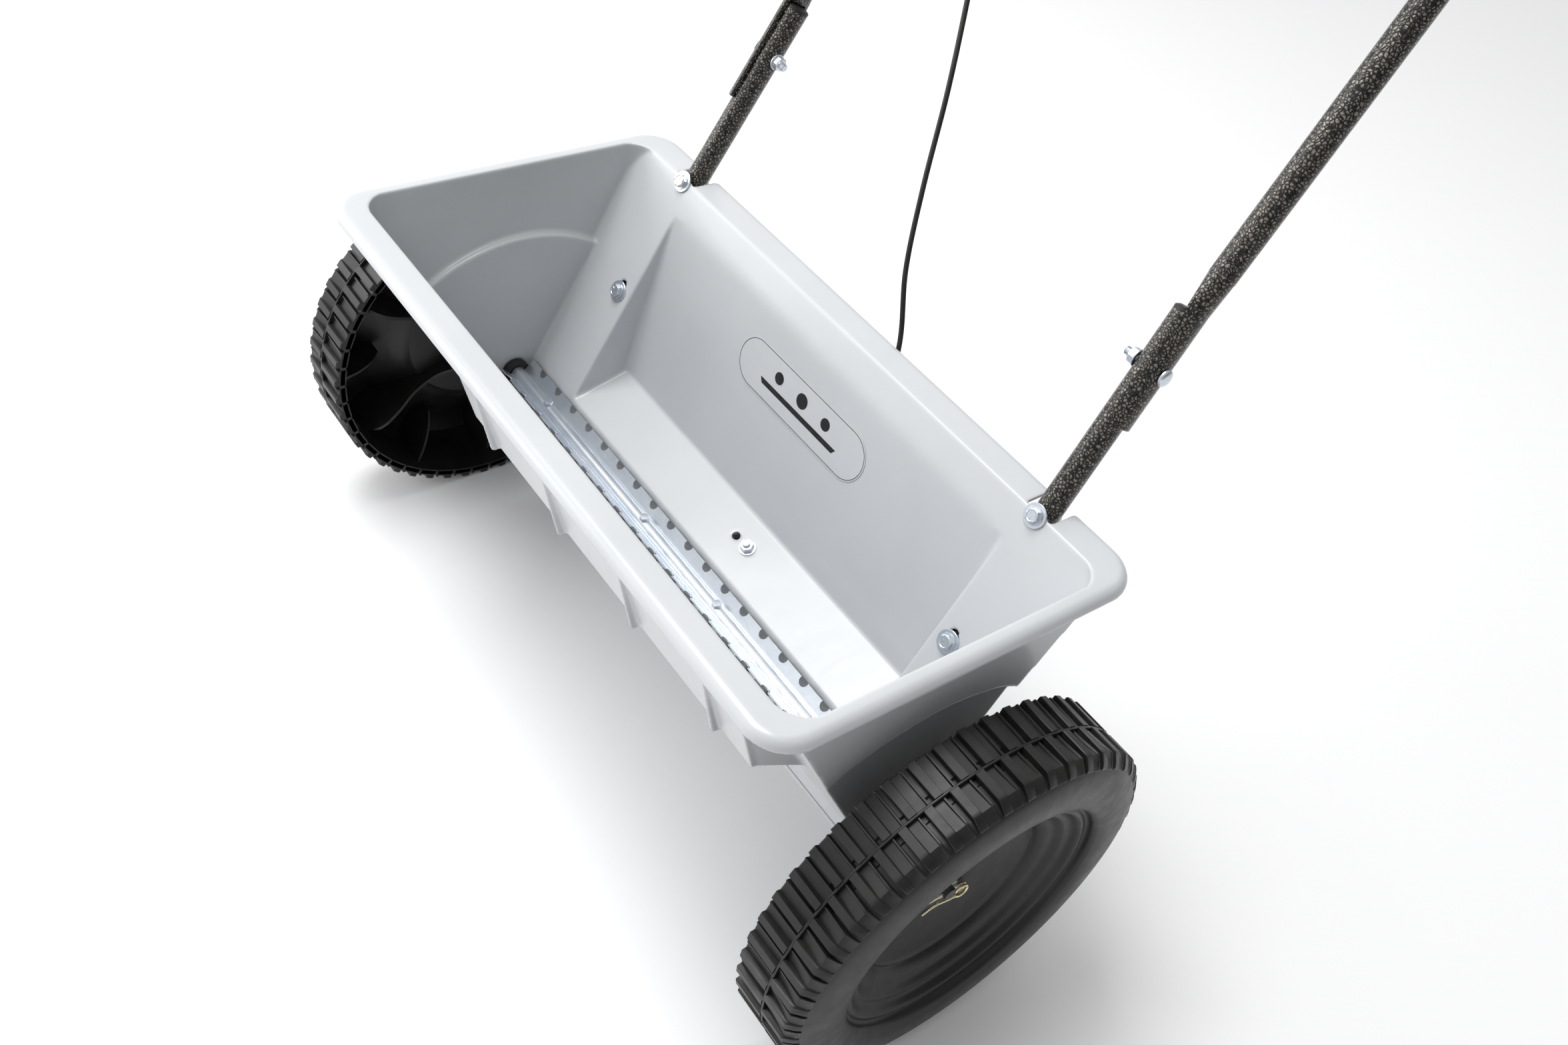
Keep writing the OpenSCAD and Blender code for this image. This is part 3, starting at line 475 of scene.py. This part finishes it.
def wheel_shell():
    """Barrel, outer wall with its dish, hub and middle ridge, as one turned skin."""
    outside = smooth_line([(BASE_R, 357, 0), (146.4, 360.5, 0), (143.5, 364, 0), (138, 367, 0),
                           (128, 369.2, 0), (116, 369.2, 0), (109, 367.2, 0)], 4)
    dish = smooth_line([(109, 367.2, 0), (106.2, 364.8, 0), (105.2, 361.4, 0), (103.4, 360.0, 0),
                        (101.6, 360.7, 0), (99.4, 361.2, 0), (97, 359.4, 0), (94.5, 356.2, 0),
                        (91.6, 354.6, 0), (89.6, 354.8, 0), (87.4, 353.2, 0), (83.5, 349.8, 0),
                        (78.5, 348.0, 0), (74, 344.8, 0), (71.5, 342.0, 0), (68.8, 342.8, 0),
                        (66.2, 341.6, 0), (60, 340.8, 0), (40, 338.8, 0), (20, 336.8, 0)], 3)
    inside = [(17, 335.9), (16, 335.5), (5.3, 335.5), (5.3, 286.3), (15, 286.3), (16, 287.3),
              (16.4, 318), (19, 326), (26, 331), (44, 333.2), (66, 335.2), (70, 336.2), (73, 339.4),
              (77, 341.8), (82, 343.6), (86, 347), (98, 353.5), (112, 362), (128, 363.5),
              (136, 360), (140, 353), (141.5, 340), (141.9, 322), (142.4, TREAD_IN + 1),
              (143.2, TREAD_IN), (147.2, TREAD_IN), (BASE_R, TREAD_IN + 0.5)]
    ridge = [(BASE_R, 7), (GROOVE_R, 5.5), (GROOVE_R, 1.2), (151.6, 0.9), (152, 0.4)]
    tread = [(r, SEAM - x) for r, x in ridge] + [(r, SEAM + x) for r, x in reversed(ridge)]
    profile = inside + tread + [(p.x, p.y) for p in outside] + [(p.x, p.y) for p in dish[1:]]
    return lathe(profile, 192)


def lug(turn, stations):
    """Bar, sunk pad and thin lip. stations are (x, height of the bar, height of the pad)."""
    rings = []
    for x, top, pad in stations:
        foot = min(top, pad) - 6.5
        step = top - pad
        section = [(-6.4, foot), (-6.1, top - 0.5), (-5.7, top), (0.1, top), (0.5, top - 0.25 * step),
                   (0.9, pad), (8.2, pad), (8.5, pad + 0.25 * step), (8.8, pad + 0.4 * step),
                   (10.0, pad + 0.4 * step), (10.4, pad), (10.7, foot)]
        ring = []
        for arc, height in section:
            r = BASE_R + height
            a = turn + arc / WHEEL_R
            ring.append((x, r * math.sin(a), r * math.cos(a)))
        rings.append(ring)
    return loft(rings)


def web(outline, turn, half):
    """Flat plate in the plane of the axle, at an angle round it; half is half its thickness."""
    return loft([[(x, r * math.sin(turn) + way * math.cos(turn),
                   r * math.cos(turn) - way * math.sin(turn)) for r, x in outline]
                 for way in (-half, half)])


def wheel_rib(turn):
    """S-edged rib between the hub and the barrel."""
    edge = smooth_line([(15.5, 291, 0), (24, 296, 0), (38, 312, 0), (58, 322, 0), (82, 322, 0),
                        (104, 315, 0), (122, 312, 0), (133, 317, 0), (139, 330, 0)], 5)
    back = [(142, 352), (138, 361), (128, 364.5), (112, 363), (98, 354.5), (70, 339), (15.5, 333)]
    return web([(p.x, p.y) for p in edge] + back, turn, 1.5)


def short_rib(turn):
    """Low rib from the barrel part of the way in."""
    edge = smooth_line([(98, 340, 0), (108, 330, 0), (122, 322, 0), (136, 318, 0), (142, 317, 0)], 4)
    back = [(142, 352), (128, 364.5), (112, 363), (98, 354.5)]
    return web([(p.x, p.y) for p in edge] + back, turn, 1.2)


def build_wheel(node, side):
    """Shell, two staggered rows of lugs, and long and short ribs inside."""
    pitch = 2 * math.pi / LUGS
    inner = [(TREAD_IN, 4.4, 1.2), (TREAD_IN + 0.7, 5, 1.6), (SEAM - 8, 5, 1.3),
             (SEAM - 0.9, 5, 1)]
    outer = [(SEAM + 0.9, 5, 1.0), (SEAM + 7, 5, 1.3), (355, 5, 3.2), (357.4, 5, 3.4),
             (358.2, 4.6, 3.0), (363, -0.5, -1.6), (364.6, -3, -4)]
    parts = [wheel_shell()]
    for i in range(LUGS):
        parts.append(lug((i + 0.5) * pitch, inner))
        parts.append(lug(i * pitch, outer))
    for i in range(RIBS):
        parts.append(wheel_rib(i * math.pi * 2 / RIBS))
        parts.append(short_rib((i + 0.5) * math.pi * 2 / RIBS))
    if side < 0:
        parts = [mirrored(part) for part in parts]
    return new_piece(node + "_look", parts, node, degrees=30)


# ---- agitator ----


def build_agitator():
    """Folded sheet: half-round saddle over the axle and two wings with round notches."""
    half, pitch, teeth = 265.6, 26.3, 20
    depth, edge, notch = 12.8, 14.15, 4.3     # notches' middle and radius, and the wing's edge
    outer_r, inner_r = 6.3, 5.1
    arc = [math.radians(a) for a in range(-6, 187, 6)]
    section = [(outer_r * math.cos(a), outer_r * math.sin(a)) for a in arc]
    section += [(inner_r * math.cos(a), inner_r * math.sin(a)) for a in reversed(arc)]
    parts = [loft([[(x, y, z) for y, z in section] for x in (-half, half)])]
    for degrees, crease_r in ((11, 0.45), (169, 0.45), (60, 0.2), (120, 0.2)):
        y = outer_r * math.cos(math.radians(degrees))
        z = outer_r * math.sin(math.radians(degrees))
        parts.append(tube([(-half, y, z), (0, y, z), (half, y, z)], crease_r, 8))
    lip = math.asin((edge - depth) / notch)
    outline = [(-half, 0), (half, 0), (half, edge)]
    steps = 16
    for i in range(teeth - 1, -1, -1):
        x = (i - (teeth - 1) / 2) * pitch + 4
        for k in range(steps + 1):
            a = lip - (math.pi + 2 * lip) * k / steps
            outline.append((x + notch * math.cos(a), depth + notch * math.sin(a)))
    outline.append((-half, edge))
    plate = flat_plate(outline, -0.6, 0.6)
    rise = math.radians(43.9)
    for way in (1, -1):
        turn = Matrix.Rotation(0 if way > 0 else math.pi, 4, "Z")
        place = turn @ Matrix.Translation((0, 5.9, -0.3)) @ Matrix.Rotation(rise, 4, "X")
        parts.append(moved(plate, place))
    return new_piece("agitator_look", parts, "agitator", degrees=40)


# ---- cable, wire and spring ----


def control_point(drop):
    """Point on the cable's straight run into the control, drop below the lever's axis."""
    lever_s = 563       # place of the lever's axis along the handle
    drum_r = 16.743
    drum_x = -194.5
    s = lever_s - drop
    return (drum_x, JOINT.y + drum_r * math.cos(REAR_TILT) + s * math.sin(REAR_TILT),
            JOINT.z - drum_r * math.sin(REAR_TILT) + s * math.cos(REAR_TILT))


CABLE_ROUTE = [(12, WIRE_Y, WIRE_Z), (24, WIRE_Y, WIRE_Z), (38, 51, -7), (50, 57, -1), (57, 69, 9),
               (60, 80, 23), (60, 88, 48), (57, 104, 86), (48, 128, 138), (30, 150, 196),
               (6, 161, 248), (-17, 181, 300), (-42, 207, 356), (-68, 231, 404), (-98, 257, 456),
               (-128, 284, 508), (-156, 312, 560), (-180, 340, 606), control_point(80),
               control_point(62), control_point(50)]


def build_cable():
    sheath = tube(smooth_line(CABLE_ROUTE, 12), 2, 20)
    return new_piece("cable_sheath_look", [sheath], "cable_sheath")


def build_spring():
    """Compression spring: an even coil of wire along the inner wire, from its free end to the cable's
    bracket.
    """
    turns, radius, span = 9, 3.6, 43.6
    free_end, fixed_end = -44.3, -0.7
    steps = 24      # in each turn
    line = []
    for i in range(turns * steps + 1):
        a = math.radians(360 // steps * i)
        line.append((free_end + span * i / (turns * steps), WIRE_Y + radius * math.cos(a),
                     WIRE_Z + radius * math.sin(a)))
    spring = new_piece("return_spring_look", [tube(line, 0.5, 10)], "return_spring", degrees=50)
    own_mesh(spring)
    return spring


def build_clip(node, side):
    """Straight leg through the axle, one and a half turns of ring, and a humped leg."""
    ring_r, ring_y, rise = 4.8, 12, 2.2
    ring = [(rise * a / 360, ring_y + ring_r * math.sin(math.radians(a)),
             ring_r * (math.cos(math.radians(a)) - 1)) for a in range(0, 541, 12)]
    hump = smooth_line([(3.3, ring_y - 3, -9.2), (3, 5, -6.6), (2.8, 0, -6.2), (2.6, -5, -5.2),
                        (2.4, -11, -4), (2.2, -17, -5), (2, -23, -8)], 8)
    line = [(0, -20, 0), (0, -6, 0), (0, 6, 0)] + ring + list(hump)
    clip_x = 338.5
    part = moved(tube(line, 1, 14, rounded=True), Matrix.Translation((clip_x, 0, 0)))
    return new_piece(node + "_look", [part if side > 0 else mirrored(part)], node, degrees=50)


# ---- fasteners ----


def tube_frame(side):
    """Frame of a lower tube, with +Z up the tube."""
    base = Matrix.Translation(JOINT) @ Matrix.Rotation(-REAR_TILT, 4, "X")
    frame_right = base @ Matrix.Rotation(-LEAN, 4, "Y")
    return Matrix.Diagonal((side, 1, 1, 1)) @ frame_right


def hex_prism(across_flats, profile, matrix, turn=0.0):
    """Hexagon with a chamfered round top. profile is (height, share of full size, roundness)."""
    rings = []
    for z, share, roundness in profile:
        ring = []
        for a in around(36):
            flat = across_flats / 2 / math.cos((a % (math.pi / 3)) - math.pi / 6)
            r = share * (flat * (1 - roundness) + roundness * across_flats / 2)
            ring.append((r * math.cos(a + turn), r * math.sin(a + turn), z))
        rings.append(ring)
    return moved(loft(rings), matrix)


def hex_head(across_flats, height, matrix, turn=0.0):
    """Bolt head rising along +Z from z = 0, with a shallow dished top."""
    h = height
    return hex_prism(across_flats, [(0, 1, 0), (h * 0.82, 1, 0), (h * 0.93, 0.995, 0.55),
                                    (h, 0.93, 1), (h, 0.80, 1), (h - 0.35, 0.70, 1),
                                    (h - 0.35, 0.05, 1)], matrix, turn)


def head_marks(radius, z, matrix):
    """Three short raised bars on a bolt head."""
    parts = []
    for k in range(3):
        a = math.radians(120 * k + 30)
        place = matrix @ Matrix.Rotation(a, 4, "Z") @ Matrix.Translation((radius, 0, z))
        box = [(x, y, h) for h in (-0.2, 0.25) for x, y in ((-0.9, -0.25), (0.9, -0.25),
                                                            (0.9, 0.25), (-0.9, 0.25))]
        parts.append(moved((box, loft([box[:4], box[4:]])[1]), place))
    return parts


def washer_part(r_out, r_in, t, matrix):
    return turned([(r_in, 0), (r_out - 0.3, 0), (r_out, 0.3), (r_out, t - 0.4), (r_out - 0.4, t),
                   (r_in + 0.2, t), (r_in, t - 0.2)], 48, matrix, ring=True)


def thread_part(radius, z0, z1, matrix, pitch=1.0):
    """Bar with thread crests, as rings along Z."""
    profile = [(0.3, z0)]
    z = z0
    while z < z1 - pitch:
        profile += [(radius - 0.42, z), (radius, z + pitch * 0.42), (radius, z + pitch * 0.58)]
        z += pitch
    profile += [(radius - 0.42, z), (radius - 0.8, z1), (0.3, z1)]
    return turned(profile, 32, matrix)


# Places along a lower tube: the hopper's bolts, and the bolt of the lap with the handle
BOLT_AT = (-116.5, -6)
LAP_BOLT = 115.6


def build_hopper_fasteners():
    """Flanged hexagon bolts, with a washer inside the hopper and a nut behind the tube."""
    bolts, washers, nuts = [], [], []
    for side in (-1, 1):
        for i, s in enumerate(BOLT_AT):
            seat = tube_frame(side) @ Matrix.Translation((0, -TUBE_OFF - 1.6, s))
            head = seat @ Matrix.Rotation(math.radians(90), 4, "X")
            shank = seat @ Matrix.Rotation(math.radians(-90), 4, "X")
            turn = 0.3 + 0.5 * i + side * 0.2
            bolts.append(turned([(0.3, -0.2), (6.2, -0.1), (6.6, 0.35), (6.2, 0.9), (0.3, 1.0)],
                                40, head))
            bolts.append(hex_head(10, 4.2, head, turn))
            bolts += head_marks(2.4, 3.85, head)
            bolts.append(turned([(0.3, -0.1), (3, -0.1), (3, 24), (0.3, 24)], 32, shank))
            bolts.append(thread_part(3, 23.5, 31, shank))
            washers.append(washer_part(9, 3.1, 1.6, shank))
            nut = tube_frame(side) @ Matrix.Translation((0, TUBE_R, s)) @ Matrix.Rotation(
                math.radians(-90), 4, "X")
            nuts.append(hex_prism(10, [(0, 0.93, 1), (0.5, 1, 0.2), (1, 1, 0), (4.2, 1, 0),
                                       (4.7, 1, 0.3), (5, 0.93, 1)], nut, turn))
    new_piece("hopper_bolts_look", bolts, "hopper_bolts", 32)
    new_piece("hopper_washers_look", washers, "hopper_washers", 32)
    new_piece("hopper_nuts_look", nuts, "hopper_nuts", 32)


def build_handle_fasteners():
    """Dome-headed bolts across the lap joints, with flanged nuts."""
    bolts, nuts = [], []
    for side in (-1, 1):
        seat = tube_frame(side) @ Matrix.Translation((TUBE_R + 3.7, 0, LAP_BOLT))
        head = seat @ Matrix.Rotation(math.radians(90), 4, "Y")
        shank = seat @ Matrix.Rotation(math.radians(-90), 4, "Y")
        bolts.append(turned([(0.3, -0.1), (6.5, -0.1), (6.5, 0.5), (6.1, 1.5), (5.0, 2.4), (3.2, 2.9),
                             (0.3, 3.0)], 40, head))
        bolts.append(turned([(0.3, 0), (3, 0), (3, 24), (0.3, 24)], 32, shank))
        bolts.append(thread_part(3, 23.5, 34, shank))
        place = tube_frame(side) @ Matrix.Translation((-TUBE_R, 0, LAP_BOLT)) @ Matrix.Rotation(
            math.radians(-90), 4, "Y")
        nuts.append(washer_part(6.5, 3.05, 1.2, place))
        nuts.append(hex_prism(10, [(1.2, 0.93, 1), (1.7, 1, 0.2), (2.2, 1, 0), (5.4, 1, 0),
                                   (5.9, 1, 0.3), (6.2, 0.93, 1)], place, 0.4))
    new_piece("handle_bolts_look", bolts, "handle_bolts", 32)
    new_piece("handle_nuts_look", nuts, "handle_nuts", 32)


# ---- hopper and badge ----


def soften_crest(mesh):
    """Blend the top of the rear bulge into the slope it grows from."""
    bm = bmesh.new()
    bm.from_mesh(mesh)
    passes = 60
    reach = Vector((198, 13, 22)) * MM
    crest = AXLE + Vector((0, *PANEL_TOP)) * MM
    near = [v for v in bm.verts if abs(v.co.x) < reach.x and abs(v.co.y - crest.y) < reach.y
            and abs(v.co.z - crest.z) < reach.z]
    for _ in range(passes):
        bmesh.ops.smooth_vert(bm, verts=near, factor=0.5, use_axis_x=True, use_axis_y=True,
                              use_axis_z=True)
    bm.to_mesh(mesh)
    bm.free()


def build_hopper():
    """CAD hopper with the soft edges of a moulding."""
    mesh = NODES["hopper"].data.copy()
    piece = bpy.data.objects.new("hopper_look", mesh)
    bpy.context.scene.collection.objects.link(piece)
    weld = piece.modifiers.new("weld", "WELD")
    weld.merge_threshold = WELD
    remesh = piece.modifiers.new("remesh", "REMESH")
    remesh.mode = "VOXEL"
    remesh.voxel_size = 1.4 * MM
    remesh.adaptivity = 0.0
    smooth = piece.modifiers.new("smooth", "SMOOTH")
    smooth.factor = 0.5
    smooth.iterations = 5
    evaluated = piece.evaluated_get(bpy.context.evaluated_depsgraph_get())
    shaped = bpy.data.meshes.new_from_object(evaluated)
    piece.modifiers.clear()
    soften_crest(shaped)
    piece.data = shaped
    shaped.shade_smooth()
    shaped.materials.clear()
    shaped.materials.append(MATERIALS["hopper_plastic"])
    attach(piece, BODY_OF["hopper"])
    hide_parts("hopper")
    return piece


def stadium(length, width, steps=24):
    """Outline with straight sides and half-round ends."""
    r = width / 2
    half = length / 2 - r
    angles = [math.pi * (k / steps - 0.5) for k in range(steps + 1)]
    right = [(half + r * math.cos(a), r * math.sin(a)) for a in angles]
    return right + [(-x, -y) for x, y in right]


def badge_frame():
    """Frame on the rear panel's face, with +Y up the panel and +Z out of it."""
    v = Vector((PANEL_TOP[0] - PANEL_FOOT[0], PANEL_TOP[1] - PANEL_FOOT[1]))
    y = 95
    z = PANEL_FOOT[1] + (y - PANEL_FOOT[0]) * v.y / v.x
    lean = math.atan2(v.x, v.y)
    return (Matrix.Translation((-2.5, y, z)) @ Matrix.Rotation(-lean, 4, "X")
            @ Matrix.Translation((0, -0.2, 0)) @ Matrix.Rotation(math.radians(90), 4, "X"))


def flat_plate(outline, z0, z1):
    return loft([[(x, y, z0) for x, y in outline], [(x, y, z1) for x, y in outline]])


def ring_plate(outer, inner, z0, z1):
    corners = ((outer, z0), (outer, z1), (inner, z1), (inner, z0))
    return loft([[(x, y, z) for x, y in outline] for outline, z in corners], joined=True)


def build_badge():
    """Plain film with a thin outline, three granules and a bar; no lettering."""
    place = badge_frame()
    length, width, film_t = 160, 43, 0.3
    film = [moved(flat_plate(stadium(length, width), 0, film_t), place)]
    new_piece("panel_badge_look", film, "panel_badge", 30)
    low, high = 0.28, 0.36      # the ink, from just inside the film to just above it
    line = ring_plate(stadium(length - 2, width - 2), stadium(length - 3, width - 3), low, high)
    bar = [(-46, -9.5), (46, -9.5), (49, -5), (-49, -5)]
    ink = [moved(line, place), moved(flat_plate(bar, low, high), place)]
    for x, r in ((-30, 5.2), (0, 6.4), (30, 5.2)):
        dot = [(x + r * math.cos(a), 5.5 + r * math.sin(a)) for a in around(32)]
        ink.append(moved(flat_plate(dot, low, high), place))
    new_piece("badge_print", ink, "panel_badge", 30, replaced=[], material="badge_ink")


# ---- grip ----


def handle_frame():
    """Frame of the handle, in the plane of its side tubes, with +Z up along them."""
    return Matrix.Translation((0, JOINT.y, JOINT.z)) @ Matrix.Rotation(-REAR_TILT, 4, "X")


def build_grip():
    """Foam sleeve with rounded ends and shallow finger grooves."""
    half, r = 140, 16.0
    bore_r = TUBE_R + 0.1
    grooves, groove_depth = 40, 0.35
    grip_z = 880        # above the axle
    profile = [(bore_r, -half), (13.2, -half), (15.2, -half + 1.2), (r, -half + 3.6)]
    for k in range(1, grooves):
        z = -half + 8 + (2 * half - 16) * k / grooves
        profile.append((r - groove_depth + groove_depth * math.cos(k * math.pi), z))
    profile += [(r, half - 3.6), (15.2, half - 1.2), (13.2, half), (bore_r, half)]
    rise = Matrix.Translation((0, 0, (grip_z - JOINT.z) / math.cos(REAR_TILT)))
    place = handle_frame() @ rise @ Matrix.Rotation(math.radians(90), 4, "Y")
    return new_piece("foam_grip_look", [turned(profile, 64, place, ring=True)], "foam_grip", 50)


# ---- light and ground ----


def add_area(name, place, target, size, power):
    light = bpy.data.lights.new(name, "AREA")
    light.shape = "RECTANGLE"
    light.size, light.size_y = size
    light.energy = power
    lamp = bpy.data.objects.new(name, light)
    lamp.location = place
    lamp.rotation_euler = (Vector(target) - Vector(place)).to_track_quat("-Z", "Y").to_euler()
    bpy.context.scene.collection.objects.link(lamp)


def add_studio():
    """White ground, a world that is bright from the upper left, and two soft lights."""
    bpy.context.scene.view_settings.view_transform = "Standard"
    world = bpy.data.worlds.new("studio")
    world.use_nodes = True
    tree = world.node_tree
    place = tree.nodes.new("ShaderNodeTexCoord")
    side = tree.nodes.new("ShaderNodeVectorMath")
    side.operation = "DOT_PRODUCT"
    side.inputs[1].default_value = (-0.38, -0.14, 0.20)
    tree.links.new(place.outputs["Generated"], side.inputs[0])
    ramp = tree.nodes.new("ShaderNodeMapRange")
    for socket, value in (("From Min", -0.45), ("From Max", 0.5), ("To Min", 0.03), ("To Max", 1.10)):
        ramp.inputs[socket].default_value = value
    tree.links.new(side.outputs["Value"], ramp.inputs["Value"])
    tree.links.new(ramp.outputs["Result"], tree.nodes["Background"].inputs["Strength"])
    tree.nodes["Background"].inputs["Color"].default_value = (0.985, 0.99, 1, 1)
    bpy.context.scene.world = world
    add_area("key", (-2.2, -1.7, 1.1), (0, 0, 0.2), (1.8, 1.6), 30)
    add_area("overhead", (-0.6, -0.6, 2.6), (0, 0, 0.2), (1.4, 1.2), 47)
    mesh = bpy.data.meshes.new("floor")
    size = 12
    mesh.from_pydata([(-size, -size, 0), (size, -size, 0), (size, size, 0), (-size, size, 0)], [],
                     [(0, 1, 2, 3)])
    floor = bpy.data.objects.new("floor", mesh)
    bpy.context.scene.collection.objects.link(floor)
    s = Shader("floor", (0.93, 0.93, 0.93), 0.7)
    cloud = s.noise(0.8, 2)
    color = s.ramp(cloud, [(0.3, (0.92, 0.92, 0.92)), (0.7, (0.93, 0.93, 0.93))])
    mesh.materials.append(s.use(color))


# ---- the whole ----

# CAD nodes that keep their shape, with the rounding of their edges in millimetres
REFINED = {
    "bush_left": 0.4, "bush_right": 0.4, "axle": 0.5, "agitator_screws": 0.3,
    "drive_pin": 0.4, "axle_washers": 0.25, "shutter": 0.25, "shutter_guide_front": 0.3,
    "shutter_guide_rear": 0.3, "guide_screws": 0.3, "cable_bracket": 0.3, "bracket_bolt": 0.4,
    "bracket_washer": 0.2, "bracket_nut": 0.35, "bracket_rivet": 0.3, "ferrule_lower": 0.3,
    "ferrule_upper": 0.3, "inner_wire_lower": 0.1, "inner_wire_upper": 0.1, "wire_clamp": 0.3,
    "wire_nipple": 0.3, "tube_cap_left": 0.4, "tube_cap_right": 0.4, "foot_left": 0.8,
    "foot_right": 0.8, "control_housing": 0.8, "control_cover": 0.6, "control_screws": 0.3,
    "control_clamp": 0.8, "rate_lever": 0.8, "lever_knob": 0.5, "lever_bolt": 0.3,
}


def paint_node(node, piece):
    """Give every material place of a CAD node the look of its slot."""
    places = piece.data.materials
    if not places:
        places.append(None)
    for i in range(len(places)):
        places[i] = MATERIALS[SLOT_OF[node]]


MATERIALS = make_materials()
add_camera()
build_cable()
add_studio()
build_hopper()
build_badge()
build_wheel("drive_wheel", 1)
build_wheel("free_wheel", -1)
build_clip("r_clip_right", 1)
build_clip("r_clip_left", -1)
build_spring()
build_agitator()
build_hopper_fasteners()
build_handle_fasteners()
build_grip()
for node, bevel in REFINED.items():
    refined(node, bevel)
for node, piece in NODES.items():
    paint_node(node, piece)
